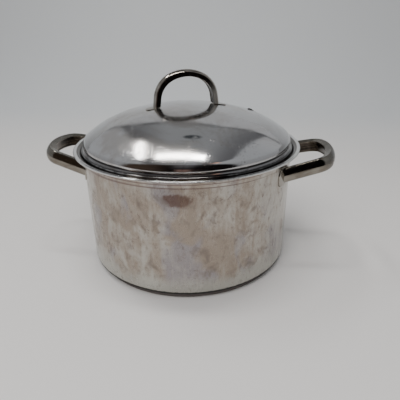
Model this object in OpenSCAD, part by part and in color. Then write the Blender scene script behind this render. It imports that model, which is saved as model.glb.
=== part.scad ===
// Straight-sided stainless steel pot with two welded side handles, an encapsulated
// base disc and a loose domed lid with an arched handle and one steam vent.
// Millimetres. The origin is the centre of the base on the table, +Z up.
// The side handles lie along X.

/* [Pot] */
// Outside diameter of the straight wall
pot_d = 222; // [180:1:280]
// Height from the table to the top of the rim
pot_h = 127; // [110:1:200]
// Thickness of the pot's sheet steel
sheet_t = 0.9; // [0.6:0.1:1.2]
// Outside radius of the corner between the wall and the bottom
corner_r = 4.5; // [3:0.5:8]

/* [Rim] */
// How far the flare widens from the wall to the flat lip
flare_w = 5.5; // [4.5:0.5:8]
// Height of the flare below the lip
flare_h = 9; // [6:0.5:10]
// Width of the flat lip
lip_w = 3.5; // [2:0.5:6]

/* [Base disc] */
// Thickness of the whole disc
base_t = 5; // [3:0.5:8]
// Thickness of the steel cap round the core
cap_t = 0.6; // [0.4:0.1:1]
// Outside radius of the cap's lower edge
cap_edge_r = 1.5; // [1:0.25:2.5]
// How far the disc's edge stays inside the flat of the bottom
base_inset = 0.3; // [0:0.1:3]

/* [Side handles] */
// Angle at which the handle rises outwards
handle_rise = 14; // [0:1:18]
// Half the distance between the arms' outer faces at the wall
arm_half = 44.3; // [38:0.5:52]
// Angle at which each arm leans in towards the other
arm_lean = 12; // [4:1:16]
// Outside radius of the bends between the arms and the grip
bend_r = 22; // [16:1:26]
// Outside radius of the bowed grip
grip_r = 72; // [60:1:120]
// How far the grip reaches out from the wall
handle_reach = 46.3; // [42:0.5:60]
// Height of the handle's section at the edges of its outer face
strap_face = 14.8; // [11:0.2:17]
// Height of the section at its inner side
strap_back = 12; // [9:0.2:14]
// Depth of the section from its outer face to its inner side
strap_depth = 8.6; // [6.5:0.1:10]
// How far the outer face bulges
strap_bulge = 2.5; // [1:0.1:3]
// Sheet thickness of the outer channel
channel_t = 1; // [0.7:0.1:1.4]
// Outside radius of the channel's corners
outer_round = 1.2; // [0.6:0.1:1.6]
// Inside radius of the channel's corners
inner_round = 0.4; // [0.2:0.1:0.8]
// Thickness of the closing strip
strip_t = 0.8; // [0.5:0.1:1.2]
// How far the closing strip sits inside the channel's edges
strip_inset = 0.5; // [0.2:0.1:1]

/* [Weld flanges] */
// Width of a flange along the wall
flange_w = 24; // [20:1:28]
// Height of a flange
flange_h = 18.4; // [17:0.2:20]
// Thickness of a flange
flange_t = 1; // [0.8:0.1:1.5]
// Corner radius of a flange
flange_corner_r = 6; // [3:0.5:8]
// How far a flange's middle stands beyond the middle of its arm, in degrees round the pot
flange_shift = 1.6; // [0:0.1:3]
// Clearance between a flange's top and the start of the flare
flange_drop = 0.75; // [0.3:0.05:6]

/* [Lid] */
// Thickness of the lid's sheet steel
lid_t = 0.8; // [0.6:0.1:1.2]
// How far the dome's widest place lies inside the seat flange's edge
dome_inset = 2.4; // [2.2:0.1:8]
// Height of the dome's widest place above the rim
dome_lift = 4.6; // [3.5:0.1:6]
// Height of the dome from its widest place to its top
dome_h = 35.9; // [33:0.1:42]
// Outside radius of the dome's shoulder
shoulder_r = 9; // [7:0.5:11]
// Angle through which the shoulder turns above the widest place
shoulder_turn = 52.5; // [48:0.5:56]
// Radius of the dome's flank
flank_r = 112; // [100:1:125]
// How far the seat flange's edge lies inside the start of the flat lip
seat_inset = 4.5; // [3.5:0.1:5.2]
// Height of the seat flange's top above the rim
seat_lift = 0.5; // [0.2:0.1:1]
// Outside radius of the turned-down edge's bend
hem_r = 1.3; // [1:0.1:2]
// Clearance between the turned-down edge and the flare under it
seat_gap = 0.45; // [0.35:0.05:0.8]
// How far the lid is turned on the pot
lid_turn = 24; // [-180:1:180]

/* [Steam vent] */
// Diameter of the vent
vent_d = 4; // [3:0.5:6]
// Distance of the vent from the middle of the lid
vent_at = 73; // [60:1:85]

/* [Lid handle] */
// Half the outer width of the arch where its legs meet the dome
arch_half = 35.8; // [30:0.1:44]
// Height of the arch above the top of the dome
arch_rise = 34.5; // [28:0.5:42]
// Angle at which each leg leans in
leg_lean = 8; // [2:1:10]
// Outside radius of the arch's bends
arch_bend_r = 29; // [20:1:29]
// Outside radius of the top of the arch
arch_top_r = 42; // [40:1:60]
// Width of the arch's section at the edges of its outer face
arch_face = 10.6; // [9:0.2:14]
// Width of the section at its inner side
arch_back = 12; // [10:0.2:14]
// Depth of the section
arch_depth = 6.8; // [5.5:0.1:8]
// How far the arch's outer face bulges
arch_bulge = 2.2; // [1:0.1:3]
// Thickness of a foot tab
foot_t = 0.8; // [0.6:0.1:1.2]
// Width of a foot tab
foot_w = 11; // [9:0.5:14]
// Corner radius of a foot tab
foot_corner_r = 3.7; // [2:0.1:4.4]
// How far a foot tab reaches out beyond the arch
foot_out = 7.5; // [5:0.5:12]

/* [Hidden] */
$fn = 96;
steel = [0.74, 0.73, 0.71];
bright_steel = [0.82, 0.82, 0.83];
aluminium = [0.66, 0.67, 0.69];
arc_steps = 10;
face_steps = 8;
round_steps = 4;
// Longer than any piece, for the shapes that trim others
far = 400;
// Overlap of a bent strap's neighbouring stretches, and how much its sheet swells in the bends
lap = 0.02;
swell = 0.01;
// How far the arch's legs are drawn below the dome before it trims them
leg_sink = 4;

// Pot: the places that the other pieces line up with
wall_r = pot_d / 2;
flat_r = wall_r - corner_r;
lip_start_r = wall_r + flare_w;
lip_r = lip_start_r + lip_w;
flare_z = pot_h - sheet_t - flare_h;
base_r = flat_r - base_inset;

// Side handles: how far the wall falls back beside an arm, and where the arm's middle meets it
wall_fall = wall_r - sqrt(wall_r * wall_r - arm_half * arm_half);
arm_overrun = wall_fall + strap_depth;
arm_mid = arm_half - strap_depth / 2 + wall_fall * tan(arm_lean);
arm_turn = asin(arm_mid / wall_r);
flange_turn = arm_turn + flange_shift;
flange_z = flare_z - flange_drop - flange_h / 2;
handle_z = flange_z + wall_r * (1 - cos(arm_turn)) * tan(handle_rise);

// Lid: the shoulder, flank and crown are three arcs that meet without a kink
seat_z = pot_h + seat_lift;
seat_r = lip_start_r - seat_inset;
dome_r = seat_r - dome_inset;
shoulder = [dome_r - shoulder_r, pot_h + dome_lift];
flank = shoulder + (shoulder_r - flank_r) * [cos(shoulder_turn), sin(shoulder_turn)];
dome_top = pot_h + dome_lift + dome_h;
flank_drop = dome_top - flank[1];
crown_r = (flank[0] * flank[0] + flank_drop * flank_drop - flank_r * flank_r)
    / (2 * (flank_drop - flank_r));
crown_z = dome_top - crown_r;
crown_turn = atan2(flank[1] - crown_z, flank[0]);
hem_z = flare_top(seat_r) + seat_gap;
foot_z = crown_z + sqrt(crown_r * crown_r - arch_half * arch_half);
vent_turn = acos(vent_at / crown_r);
vent_axis = vent_at < crown_r * cos(crown_turn)
    ? [0, crown_z, vent_turn]
    : [flank[0], flank[1], acos((vent_at - flank[0]) / flank_r)];

// Height of the flare's upper face at a radius
function flare_top(r) =
    flare_z + (flare_h + sheet_t) * sqrt(1 - pow((lip_start_r - r) / (flare_w + sheet_t), 2));

function reversed(points) = [for (i = [len(points) - 1 : -1 : 0]) points[i]];

// Points along an arc
function arc(centre, r, from, to, steps = arc_steps) =
    [for (i = [0 : steps]) centre + r * [cos(from + (to - from) * i / steps),
                                         sin(from + (to - from) * i / steps)]];

// Points along the elliptical flare, as an offset d from its outer face
function flare(d, from, to) =
    [for (i = [0 : arc_steps]) let (t = from + (to - from) * i / arc_steps)
        [lip_start_r - (flare_w + d) * cos(t), flare_z + (flare_h + d) * sin(t)]];

// Outline of the dome from its top to the shoulder's lower end, as an offset d inwards
function dome(d, last_turn) = concat(
    arc([0, crown_z], crown_r - d, 90, crown_turn),
    arc(flank, flank_r - d, crown_turn, shoulder_turn),
    arc(shoulder, shoulder_r - d, shoulder_turn, last_turn));

function shoulder_end(d) = -asin((shoulder[1] - seat_z + d) / (shoulder_r - d));

// Outline of a rectangle with round corners
function round_rect(w, h, r) = concat(
    arc([w / 2 - r, h / 2 - r], r, 0, 90), arc([r - w / 2, h / 2 - r], r, 90, 180),
    arc([r - w / 2, r - h / 2], r, 180, 270), arc([w / 2 - r, r - h / 2], r, 270, 360));

// ---- Bent straps: two arms, two bends and a bowed middle, all in one plane ----

// Unit vectors along an arm and square to it, towards the inside
function along(lean) = [cos(lean), -sin(lean)];
function inward(lean) = [-sin(lean), -cos(lean)];

// Centre of a bend that touches the arm's outer line and the bowed middle
function bend_centre(half, lean, bend, middle, length) =
    let (start = [0, half] + inward(lean) * bend,
         w = start - [length - middle, 0],
         b = w * along(lean),
         c = w * w - (middle - bend) * (middle - bend))
    start + along(lean) * (sqrt(b * b - c) - b);

// Sweeps a section whose outer face touches x = 0 from below: the first child is for
// the arms and the middle, the second for the bends.
// The arms start at X = -back, and the strap reaches out to X = length.
module bent_strap(half, lean, bend, middle, length, back) {
    centre = bend_centre(half, lean, bend, middle, length);
    middle_x = length - middle;
    meet = atan2(centre[1], centre[0] - middle_x);
    touch = centre - inward(lean) * bend;
    start = [-back, half + back * tan(lean)];
    lap_turn = lap / middle * 180 / PI;
    for (side = [0, 1])
        mirror([0, side, 0]) {
            translate([start[0], start[1], 0])
                rotate([90, 0, 90 - lean])
                    linear_extrude(norm(touch - start) + lap)
                        children(0);
            translate([centre[0], centre[1], 0])
                rotate([0, 0, meet])
                    rotate_extrude(angle = 90 - lean - meet)
                        translate([bend, 0])
                            children(1);
        }
    translate([middle_x, 0, 0])
        rotate([0, 0, -meet - lap_turn])
            rotate_extrude(angle = 2 * (meet + lap_turn))
                translate([middle, 0])
                    children(0);
}

// Half height of a section at depth u, as an offset d inwards
function half_height(face, back, depth, bulge, u, d) =
    let (slope = (back - face) / 2 / (depth - bulge))
    face / 2 + slope * (u - bulge) - d * sqrt(1 + slope * slope);

function face_radius(face, bulge) = (face * face / 4 + bulge * bulge) / (2 * bulge);

// Centre of the round of radius q that joins the bulged face to a side, both offset d inwards
function round_centre(face, back, depth, bulge, d, q) =
    let (r = face_radius(face, bulge),
         slope = (back - face) / 2 / (depth - bulge),
         side = [-1, slope] / sqrt(1 + slope * slope),
         w = [r - bulge, face / 2] + [-side[1], side[0]] * (q + d),
         b = w * side)
    [-r, 0] + w - side * (b + sqrt(b * b - w * w + (r - d - q) * (r - d - q)));

// One side of the channel's sheet, from an inner edge round the bulged face to the other edge
function channel_line(face, back, depth, bulge, d, q) =
    let (r = face_radius(face, bulge),
         centre = round_centre(face, back, depth, bulge, d, q),
         turn = atan2(centre[1], centre[0] + r),
         side = 90 - atan((back - face) / 2 / (depth - bulge)),
         step = (side - turn) / round_steps,
         edge = half_height(face, back, depth, bulge, depth, d))
    concat([[-depth, -edge]],
           arc([centre[0], -centre[1]], q, -side, -turn - step, round_steps - 1),
           arc([-r, 0], r - d, -turn, turn, face_steps),
           arc(centre, q, turn + step, side, round_steps - 1),
           [[-depth, edge]]);

// Outer channel: the bulged face and the two sides, open at the inner side
module channel_section(face, back, depth, bulge, extra = 0) {
    polygon(concat(
        channel_line(face, back, depth, bulge, -extra, outer_round),
        reversed(channel_line(face, back, depth, bulge, channel_t + extra, inner_round))));
}

// Closing strip between the channel's sides
module strip_section(face, back, depth, bulge, extra = 0) {
    inner = depth - strip_inset + extra;
    outer = depth - strip_inset - strip_t - extra;
    inner_half = half_height(face, back, depth, bulge, inner, channel_t + extra);
    outer_half = half_height(face, back, depth, bulge, outer, channel_t + extra);
    polygon([[-outer, outer_half], [-inner, inner_half], [-inner, -inner_half], [-outer, -outer_half]]);
}

// ---- Pot ----

module pot_shell() {
    inner_corner_r = corner_r - sheet_t;
    corner = [flat_r, base_t + corner_r];
    edge_r = sheet_t / 2;
    color(steel)
        rotate_extrude()
            polygon(concat(
                [[0, base_t]],
                arc(corner, corner_r, -90, 0),
                flare(0, 0, 90),
                arc([lip_r - edge_r, pot_h - edge_r], edge_r, -90, 90),
                flare(sheet_t, 90, 0),
                arc(corner, inner_corner_r, 0, -90),
                [[0, base_t + sheet_t]]));
}

module base_core() {
    edge_r = cap_edge_r - cap_t;
    color(aluminium)
        rotate_extrude()
            polygon(concat(
                [[0, cap_t]],
                arc([base_r - cap_edge_r, cap_edge_r], edge_r, -90, 0),
                [[base_r - cap_t, base_t], [0, base_t]]));
}

module base_cap() {
    edge = [base_r - cap_edge_r, cap_edge_r];
    color(steel)
        rotate_extrude()
            polygon(concat(
                [[0, 0]],
                arc(edge, cap_edge_r, -90, 0),
                [[base_r, base_t], [base_r - cap_t, base_t]],
                arc(edge, cap_edge_r - cap_t, 0, -90),
                [[0, cap_t]]));
}

// ---- Side handles, made for the +X side ----

module handle_place() {
    difference() {
        translate([wall_r, 0, handle_z])
            rotate([0, -handle_rise, 0])
                bent_strap(arm_half, arm_lean, bend_r, grip_r, handle_reach, arm_overrun) {
                    children(0);
                    children(1);
                }
        cylinder(r = wall_r + flange_t, h = far);
    }
}

module handle_channel() {
    color(bright_steel)
        handle_place() {
            channel_section(strap_face, strap_back, strap_depth, strap_bulge);
            channel_section(strap_face, strap_back, strap_depth, strap_bulge, swell);
        }
}

module handle_strip() {
    color(bright_steel)
        handle_place() {
            strip_section(strap_face, strap_back, strap_depth, strap_bulge);
            strip_section(strap_face, strap_back, strap_depth, strap_bulge, swell);
        }
}

module weld_flange(side) {
    color(steel)
        rotate([0, 0, side * flange_turn])
            difference() {
                intersection() {
                    cylinder(r = wall_r + flange_t, h = far);
                    translate([wall_r / 2, 0, flange_z])
                        rotate([90, 0, 90])
                            linear_extrude(wall_r)
                                polygon(round_rect(flange_w, flange_h, flange_corner_r));
                }
                cylinder(r = wall_r, h = far);
            }
}

module on_left() {
    rotate([0, 0, 180]) children();
}

module right_handle_channel() { handle_channel(); }
module right_handle_strip() { handle_strip(); }
module right_front_flange() { weld_flange(-1); }
module right_rear_flange() { weld_flange(1); }
module left_handle_channel() { on_left() handle_channel(); }
module left_handle_strip() { on_left() handle_strip(); }
module left_front_flange() { on_left() weld_flange(1); }
module left_rear_flange() { on_left() weld_flange(-1); }

// ---- Lid ----

module on_lid() {
    rotate([0, 0, lid_turn]) children();
}

module lid_shell() {
    color(bright_steel)
        on_lid()
            difference() {
                rotate_extrude()
                    polygon(concat(
                        dome(0, shoulder_end(0)),
                        arc([seat_r - hem_r, seat_z - hem_r], hem_r, 90, 0),
                        [[seat_r, hem_z], [seat_r - lid_t, hem_z]],
                        arc([seat_r - hem_r, seat_z - hem_r], hem_r - lid_t, 0, 90),
                        reversed(dome(lid_t, shoulder_end(lid_t)))));
                translate([vent_axis[0], 0, vent_axis[1]])
                    rotate([0, 90 - vent_axis[2], 0])
                        cylinder(d = vent_d, h = far);
            }
}

// The arch stands in the lid's XZ plane
module arch_place() {
    difference() {
        translate([0, 0, foot_z])
            rotate([0, -90, 0])
                rotate([90, 0, 0])
                    bent_strap(arch_half, leg_lean, arch_bend_r, arch_top_r,
                               dome_top + arch_rise - foot_z, leg_sink) {
                        children(0);
                        children(1);
                    }
        translate([0, 0, crown_z])
            sphere(crown_r + foot_t);
    }
}

module lid_handle_channel() {
    color(bright_steel)
        on_lid()
            arch_place() {
                channel_section(arch_face, arch_back, arch_depth, arch_bulge);
                channel_section(arch_face, arch_back, arch_depth, arch_bulge, swell);
            }
}

module lid_handle_strip() {
    color(bright_steel)
        on_lid()
            arch_place() {
                strip_section(arch_face, arch_back, arch_depth, arch_bulge);
                strip_section(arch_face, arch_back, arch_depth, arch_bulge, swell);
            }
}

// Tab under a leg of the arch, welded to the dome
module foot_tab(turn) {
    length = arch_depth + foot_out;
    color(bright_steel)
        on_lid()
            rotate([0, 0, turn])
                difference() {
                    intersection() {
                        translate([0, 0, crown_z])
                            sphere(crown_r + foot_t);
                        translate([arch_half + foot_out - length / 2, 0, 0])
                            linear_extrude(far)
                                polygon(round_rect(length, foot_w, foot_corner_r));
                    }
                    translate([0, 0, crown_z])
                        sphere(crown_r);
                }
}

module lid_foot_left() { foot_tab(180); }
module lid_foot_right() { foot_tab(0); }

pot_shell();
base_core();
base_cap();
right_handle_channel();
right_handle_strip();
right_front_flange();
right_rear_flange();
left_handle_channel();
left_handle_strip();
left_front_flange();
left_rear_flange();
lid_shell();
lid_handle_channel();
lid_handle_strip();
lid_foot_left();
lid_foot_right();
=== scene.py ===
"""Looks of a lidded stainless steel pot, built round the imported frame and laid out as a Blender
add-on."""

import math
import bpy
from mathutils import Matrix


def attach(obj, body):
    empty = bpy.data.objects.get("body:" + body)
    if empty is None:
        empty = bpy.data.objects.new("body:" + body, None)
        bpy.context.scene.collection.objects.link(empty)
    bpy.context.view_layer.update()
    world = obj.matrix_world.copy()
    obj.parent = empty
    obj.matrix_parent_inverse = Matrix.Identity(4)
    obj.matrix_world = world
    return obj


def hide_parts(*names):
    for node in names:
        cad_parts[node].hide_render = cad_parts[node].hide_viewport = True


bl_info = {
    "name": "Lidded Steel Pot",
    "version": (1, 0, 0),
    "blender": (4, 5, 0),
    "location": "View3D > Sidebar > Pot",
    "description": "Builds a steel pot with welded handles and a domed lid",
    "category": "Add Mesh",
}

import bmesh
import bpy
import numpy as np
from bpy.props import FloatProperty, FloatVectorProperty, PointerProperty
from mathutils import Matrix

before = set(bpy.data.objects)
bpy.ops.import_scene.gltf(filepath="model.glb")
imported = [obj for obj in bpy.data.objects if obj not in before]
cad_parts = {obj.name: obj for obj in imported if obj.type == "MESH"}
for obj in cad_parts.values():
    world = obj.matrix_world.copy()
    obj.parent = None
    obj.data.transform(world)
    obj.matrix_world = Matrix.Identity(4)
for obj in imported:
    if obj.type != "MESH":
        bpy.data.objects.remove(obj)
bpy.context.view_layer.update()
MM = 0.001
SHARP_FROM = 40  # degrees between faces from which an edge is shaded sharp


# ---- Sizes and colours that a user would change ----


def length(name, description, millimetres):
    return FloatProperty(
        name=name, description=description, default=millimetres * MM, min=0.0, unit="LENGTH"
    )


def angle(name, description, degrees):
    return FloatProperty(
        name=name, description=description, default=math.radians(degrees), subtype="ANGLE"
    )


def colour(name, description, value):
    return FloatVectorProperty(
        name=name, description=description, default=value, size=3, min=0.0, max=1.0, subtype="COLOR"
    )


def share(name, description, value):
    return FloatProperty(
        name=name, description=description, default=value, min=0.0, max=1.0, subtype="FACTOR"
    )


class PotSizes(bpy.types.PropertyGroup):
    """Sizes of the pot and its base disc."""

    diameter: length("Diameter", "Outside diameter of the straight wall", 222)
    height: length("Height", "Height of the rim above the table", 127)
    sheet: length("Sheet", "Thickness of the pot's sheet", 0.9)
    corner: length("Corner", "Outside radius between the wall and the bottom", 4.5)
    flare_width: length("Flare width", "How far the flare widens to the lip", 5.5)
    flare_height: length("Flare height", "Height of the flare below the lip", 9)
    lip: length("Lip", "Width of the flat lip", 3.5)
    base: length("Base", "Thickness of the base disc", 5)
    cap: length("Cap", "Thickness of the base disc's steel cap", 0.6)
    cap_edge: length("Cap edge", "Outside radius of the cap's lower edge", 1.5)
    base_inset: length("Base inset", "How far the disc stays inside the flat bottom", 0.3)


class HandleSizes(bpy.types.PropertyGroup):
    """Sizes of the side handles and their weld flanges."""

    rise: angle("Rise", "Angle at which the handle rises outwards", 14)
    half: length("Half width", "Half the distance between the arms at the wall", 44.3)
    lean: angle("Lean", "Angle at which each arm leans in", 12)
    bend: length("Bend", "Outside radius of the bends", 22)
    grip: length("Grip", "Outside radius of the bowed grip", 72)
    reach: length("Reach", "How far the grip reaches out from the wall", 46.3)
    face: length("Face", "Height of the section at its outer face", 14.8)
    back: length("Back", "Height of the section at its inner side", 12)
    depth: length("Depth", "Depth of the section", 8.6)
    bulge: length("Bulge", "How far the outer face bulges", 2.5)
    sheet: length("Sheet", "Thickness of the channel's sheet", 1)
    strip: length("Strip", "Thickness of the closing strip", 0.8)
    inset: length("Inset", "How far the closing strip sits inside the edges", 0.5)
    outer_round: length("Outer round", "Outside radius of the channel's corners", 1.2)
    inner_round: length("Inner round", "Inside radius of the channel's corners", 0.4)
    flange_width: length("Flange width", "Width of a weld flange", 24)
    flange_height: length("Flange height", "Height of a weld flange", 18.4)
    flange: length("Flange", "Thickness of a weld flange", 1)
    flange_corner: length("Flange corner", "Corner radius of a weld flange", 6)
    flange_shift: angle("Flange shift", "How far a flange's middle stands beyond its arm", 1.6)
    flange_drop: length("Flange drop", "Clearance between a flange's top and the flare", 0.75)


class LidSizes(bpy.types.PropertyGroup):
    """Sizes of the lid, its vent and its arched handle."""

    sheet: length("Sheet", "Thickness of the lid's sheet", 0.8)
    dome_inset: length("Dome inset", "How far the dome lies inside the seat flange's edge", 2.4)
    lift: length("Lift", "Height of the dome's widest place above the rim", 4.6)
    rise: length("Rise", "Height of the dome above its widest place", 35.9)
    shoulder: length("Shoulder", "Outside radius of the shoulder", 9)
    shoulder_turn: angle("Shoulder turn", "Angle through which the shoulder turns", 52.5)
    flank: length("Flank", "Radius of the dome's flank", 112)
    seat_inset: length("Seat inset", "How far the seat flange lies inside the flat lip", 4.5)
    seat_lift: length("Seat lift", "Height of the seat flange above the rim", 0.5)
    hem: length("Hem", "Outside radius of the turned-down edge", 1.3)
    gap: length("Gap", "Clearance between the turned-down edge and the flare", 0.45)
    turn: angle("Turn", "How far the lid is turned on the pot", 24)
    vent: length("Vent", "Diameter of the steam vent", 4)
    vent_at: length("Vent place", "Distance of the vent from the lid's middle", 73)
    collar: length("Vent collar", "How far the sheet is drawn up round the vent", 1.2)
    half: length("Arch half width", "Half the outer width of the arch at the dome", 35.8)
    arch: length("Arch height", "Height of the arch above the dome", 34.5)
    lean: angle("Arch lean", "Angle at which each leg leans in", 8)
    bend: length("Arch bend", "Outside radius of the arch's bends", 29)
    top: length("Arch top", "Outside radius of the arch's top", 42)
    face: length("Arch face", "Width of the arch's section at its outer face", 10.6)
    back: length("Arch back", "Width of the section at its inner side", 12)
    depth: length("Arch depth", "Depth of the arch's section", 6.8)
    bulge: length("Arch bulge", "How far the arch's outer face bulges", 2.2)
    foot: length("Foot", "Thickness of a foot tab", 0.8)
    foot_width: length("Foot width", "Width of a foot tab", 11)
    foot_out: length("Foot reach", "How far a foot tab reaches out", 7.5)
    foot_corner: length("Foot corner", "Corner radius of a foot tab", 3.7)


class PotFinish(bpy.types.PropertyGroup):
    """Colours of the steel and the stage, and how strong the tint, stains, residue and painted
    shade are.
    """

    wall: colour("Wall", "Steel of the wall", (0.47, 0.45, 0.41))
    tint: colour("Heat tint", "Brownish tint left by heat on the wall", (0.31, 0.25, 0.20))
    haze: colour("Haze", "Pale haze between the tinted places", (0.52, 0.505, 0.46))
    lid: colour("Lid", "Polished steel of the lid", (0.68, 0.68, 0.69))
    handle: colour("Handle", "Polished steel of the handles", (0.46, 0.43, 0.39))
    core: colour("Core", "Aluminium inside the base disc", (0.70, 0.70, 0.69))
    # This also sets the strength of the painted shade and painted reflections on the wall, the lid
    # and the base disc.
    wear_and_shade: share("Wear", "Strength of the tint, stains and residue", 0.8)
    floor: colour("Floor", "Table top", (0.80, 0.785, 0.77))
    backdrop: colour("Backdrop", "Wall behind the table", (0.80, 0.83, 0.85))


# ---- Shader maths ----

class Wire:
    """A socket's value; each operator on it adds one Math node."""

    def __init__(self, graph, socket):
        self.graph = graph
        self.socket = socket

    def __add__(self, other):
        return self.graph.math("ADD", self, other)

    __radd__ = __add__

    def __sub__(self, other):
        return self.graph.math("SUBTRACT", self, other)

    def __rsub__(self, other):
        return self.graph.math("SUBTRACT", other, self)

    def __mul__(self, other):
        return self.graph.math("MULTIPLY", self, other)

    __rmul__ = __mul__

    def __truediv__(self, other):
        return self.graph.math("DIVIDE", self, other)


class Graph:
    """The nodes of a material or a world, written as expressions."""

    def __init__(self, holder):
        self.holder = holder
        holder.use_nodes = True
        self.tree = holder.node_tree
        self.tree.nodes.clear()

    def add(self, kind, settings, sockets, output=0):
        """Adds one node, its settings first, then its sockets' values or links."""
        node = self.tree.nodes.new(kind)
        for key, value in settings.items():
            setattr(node, key, value)
        for key, value in sockets.items():
            if isinstance(value, Wire):
                self.tree.links.new(value.socket, node.inputs[key])
            else:
                node.inputs[key].default_value = value
        return None if output is None else Wire(self, node.outputs[output])

    def math(self, operation, *values):
        return self.add("ShaderNodeMath", {"operation": operation}, dict(enumerate(values)))

    def place(self):
        return self.add("ShaderNodeTexCoord", {}, {}, "Object")

    def along(self):
        """UV: the turn round a turned piece or the length along a strap, and the running length
        of its profile or section."""
        return self.parts(self.add("ShaderNodeTexCoord", {}, {}, "UV"))[:2]

    def parts(self, vector):
        split = self.add("ShaderNodeSeparateXYZ", {}, {0: vector}).socket.node
        return [Wire(self, socket) for socket in split.outputs]

    def vector(self, x, y, z):
        return self.add("ShaderNodeCombineXYZ", {}, {0: x, 1: y, 2: z})

    def far(self, a, b):
        """Distance of (a, b) from the origin."""
        return self.math("SQRT", a * a + b * b)

    def around(self):
        """Places as (direction across, direction along, height, radius), for a turned piece."""
        x, y, z = self.parts(self.place())
        radius = self.far(x, y) + 1e-6
        return x / radius, y / radius, z, radius

    def noise(self, vector, scale, detail=2.0, rough=0.5, warp=0.0):
        sockets = {"Vector": vector, "Scale": scale, "Detail": detail}
        sockets.update({"Roughness": rough, "Distortion": warp})
        return self.add("ShaderNodeTexNoise", {}, sockets)

    def step(self, value, low, high):
        """Smooth step from 0 at low to 1 at high."""
        return self.add(
            "ShaderNodeMapRange",
            {"interpolation_type": "SMOOTHSTEP"},
            {0: value, 1: low, 2: high, 3: 0.0, 4: 1.0},
        )

    def fade(self, value, low, high):
        """Smooth step from 1 at low to 0 at high."""
        return 1.0 - self.step(value, low, high)

    def near(self, value, low, high):
        """1 where the value lies within low of zero, fading to 0 at high."""
        return self.fade(self.math("ABSOLUTE", value), low, high)

    def stretched(self, vector, turn, scale):
        sockets = {"Vector": vector, "Rotation": turn, "Scale": scale}
        return self.add("ShaderNodeMapping", {}, sockets)

    def blend(self, a, b, amount):
        """Colour a where amount is 0 and b where it is 1."""
        a, b = (tuple(c) + (1.0,) if not isinstance(c, Wire) else c for c in (a, b))
        return self.add("ShaderNodeMix", {"data_type": "RGBA"}, {0: amount, 6: a, 7: b}, 2)

    def coats(self, base, *coats):
        """Blends each coat (colour, amount) over what lies below it."""
        for coat, amount in coats:
            base = self.blend(base, coat, amount)
        return base

    def bump(self, height, strength, distance):
        sockets = {"Strength": strength, "Distance": distance, "Height": height}
        return self.add("ShaderNodeBump", {}, sockets)

    def scratches(self, vector, seed, scale, thin):
        """Thin marks where a long, stretched noise crosses its middle."""
        lines = 0.0
        for k, turn in enumerate(((0.3, 0.2, 0.5), (1.1, 0.7, 2.1), (2.0, 1.4, 3.9))):
            pulled = self.stretched(vector, [t + seed for t in turn], (1.0, 0.09, 0.3))
            wave = self.noise(pulled, scale * (1.0 + 0.3 * k), 1.0, 0.4)
            keep = self.step(self.noise(vector, scale * 0.12 + 7 * k, 1.0), 0.5, 0.7)
            lines = self.near(wave - 0.5, 0.0, thin) * keep + lines
        return lines

    def metal(self, base, roughness, normal, **settings):
        sockets = {"Base Color": base, "Metallic": 1.0, "Roughness": roughness, "Normal": normal}
        sockets.update(settings)
        shader = self.add("ShaderNodeBsdfPrincipled", {}, sockets)
        self.add("ShaderNodeOutputMaterial", {}, {"Surface": shader}, None)
        return self.holder


# ---- Materials ----

# Stains, residue, painted shade, painted reflections and painted highlights keep these colours,
# whatever the finish
VIOLET_TINT = (0.285, 0.26, 0.275)
DEEP_STAIN = (0.20, 0.165, 0.145)
DULL_GRAIN = (0.24, 0.20, 0.18)
# painted reflection of the bright floor at the bottom of the wall
FLOOR_REFLECTION_PALE = (0.50, 0.51, 0.46)
BURNT_BROWN = (0.12, 0.065, 0.05)
# painted shade on the outside of the wall's lower corner
CORNER_SHADE_BLACK = (0.008, 0.006, 0.006)
# painted shade in the groove inside the flare
GROOVE_SHADE = (0.03, 0.026, 0.026)
LATHE_BROWN = (0.17, 0.125, 0.115)
# painted highlight on the flat lip
LIP_HIGHLIGHT = (0.90, 0.90, 0.89)
LID_SMUDGE = (0.47, 0.43, 0.395)
LID_SPECKS = (0.30, 0.27, 0.25)
# painted dark reflection at the dome's foot
LID_FOOT_DARK_REFLECTION = (0.14, 0.11, 0.10)
# painted shade on the seat flange beyond the dome
FLANGE_SHADE = (0.022, 0.019, 0.019)
VENT_GRIME = (0.02, 0.018, 0.017)
DULL_HANDLE = (0.24, 0.225, 0.19)
HANDLE_STAIN = (0.115, 0.09, 0.068)
GRIP_GREY = (0.15, 0.145, 0.135)
# painted shade and painted reflections of the closing strips inside the channel
STRIP_SHADE, STRIP_REFLECTED_BROWN = (0.018, 0.014, 0.012), (0.13, 0.11, 0.09)
BASE_STEEL, BASE_BURNT = (0.46, 0.44, 0.42), (0.20, 0.16, 0.13)
# painted shade on the base disc's side
BASE_SIDE_SHADE = (0.06, 0.045, 0.042)
MILL_GREY = (0.58, 0.58, 0.57)
CARD_GREY = (0.6, 0.6, 0.6)


def rim_masks(g, pot, radius, z):
    """Masks of the groove inside the flare (for its painted shade), of the lip (for its painted
    highlight) and of the flare's outside, and the height of the lip's rounded crown as
    1 - (distance from its middle / half width)^2."""
    lip_start, flare_z = flare_start(pot)
    inward = (lip_start - radius) / (pot.flare_width + pot.sheet)
    upward = (z - flare_z) / (pot.flare_height + pot.sheet)
    # The groove inside the flare, darkened with painted shade.
    groove = g.step(g.far(inward, upward), 0.93, 0.97) * g.step(inward, -0.08, 0.04)
    groove = groove * g.step(z, flare_z - 3.1 * MM, flare_z + 0.9 * MM)
    # The lip, whitened with a painted highlight.
    lip = g.step(z, pot.height - 3.5 * MM, pot.height - 1.5 * MM)
    flare = g.step(z, flare_z - 1.6 * MM, flare_z + 0.4 * MM) * (1.0 - lip)
    off = (radius - lip_start - pot.lip * 0.6) / (1.3 * MM)
    crown = g.math("MAXIMUM", 1.0 - off * off, 0.0)
    crown = crown * g.step(z, pot.height - 0.8 * MM, pot.height - 0.4 * MM)
    return groove, lip, flare, crown


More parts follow.
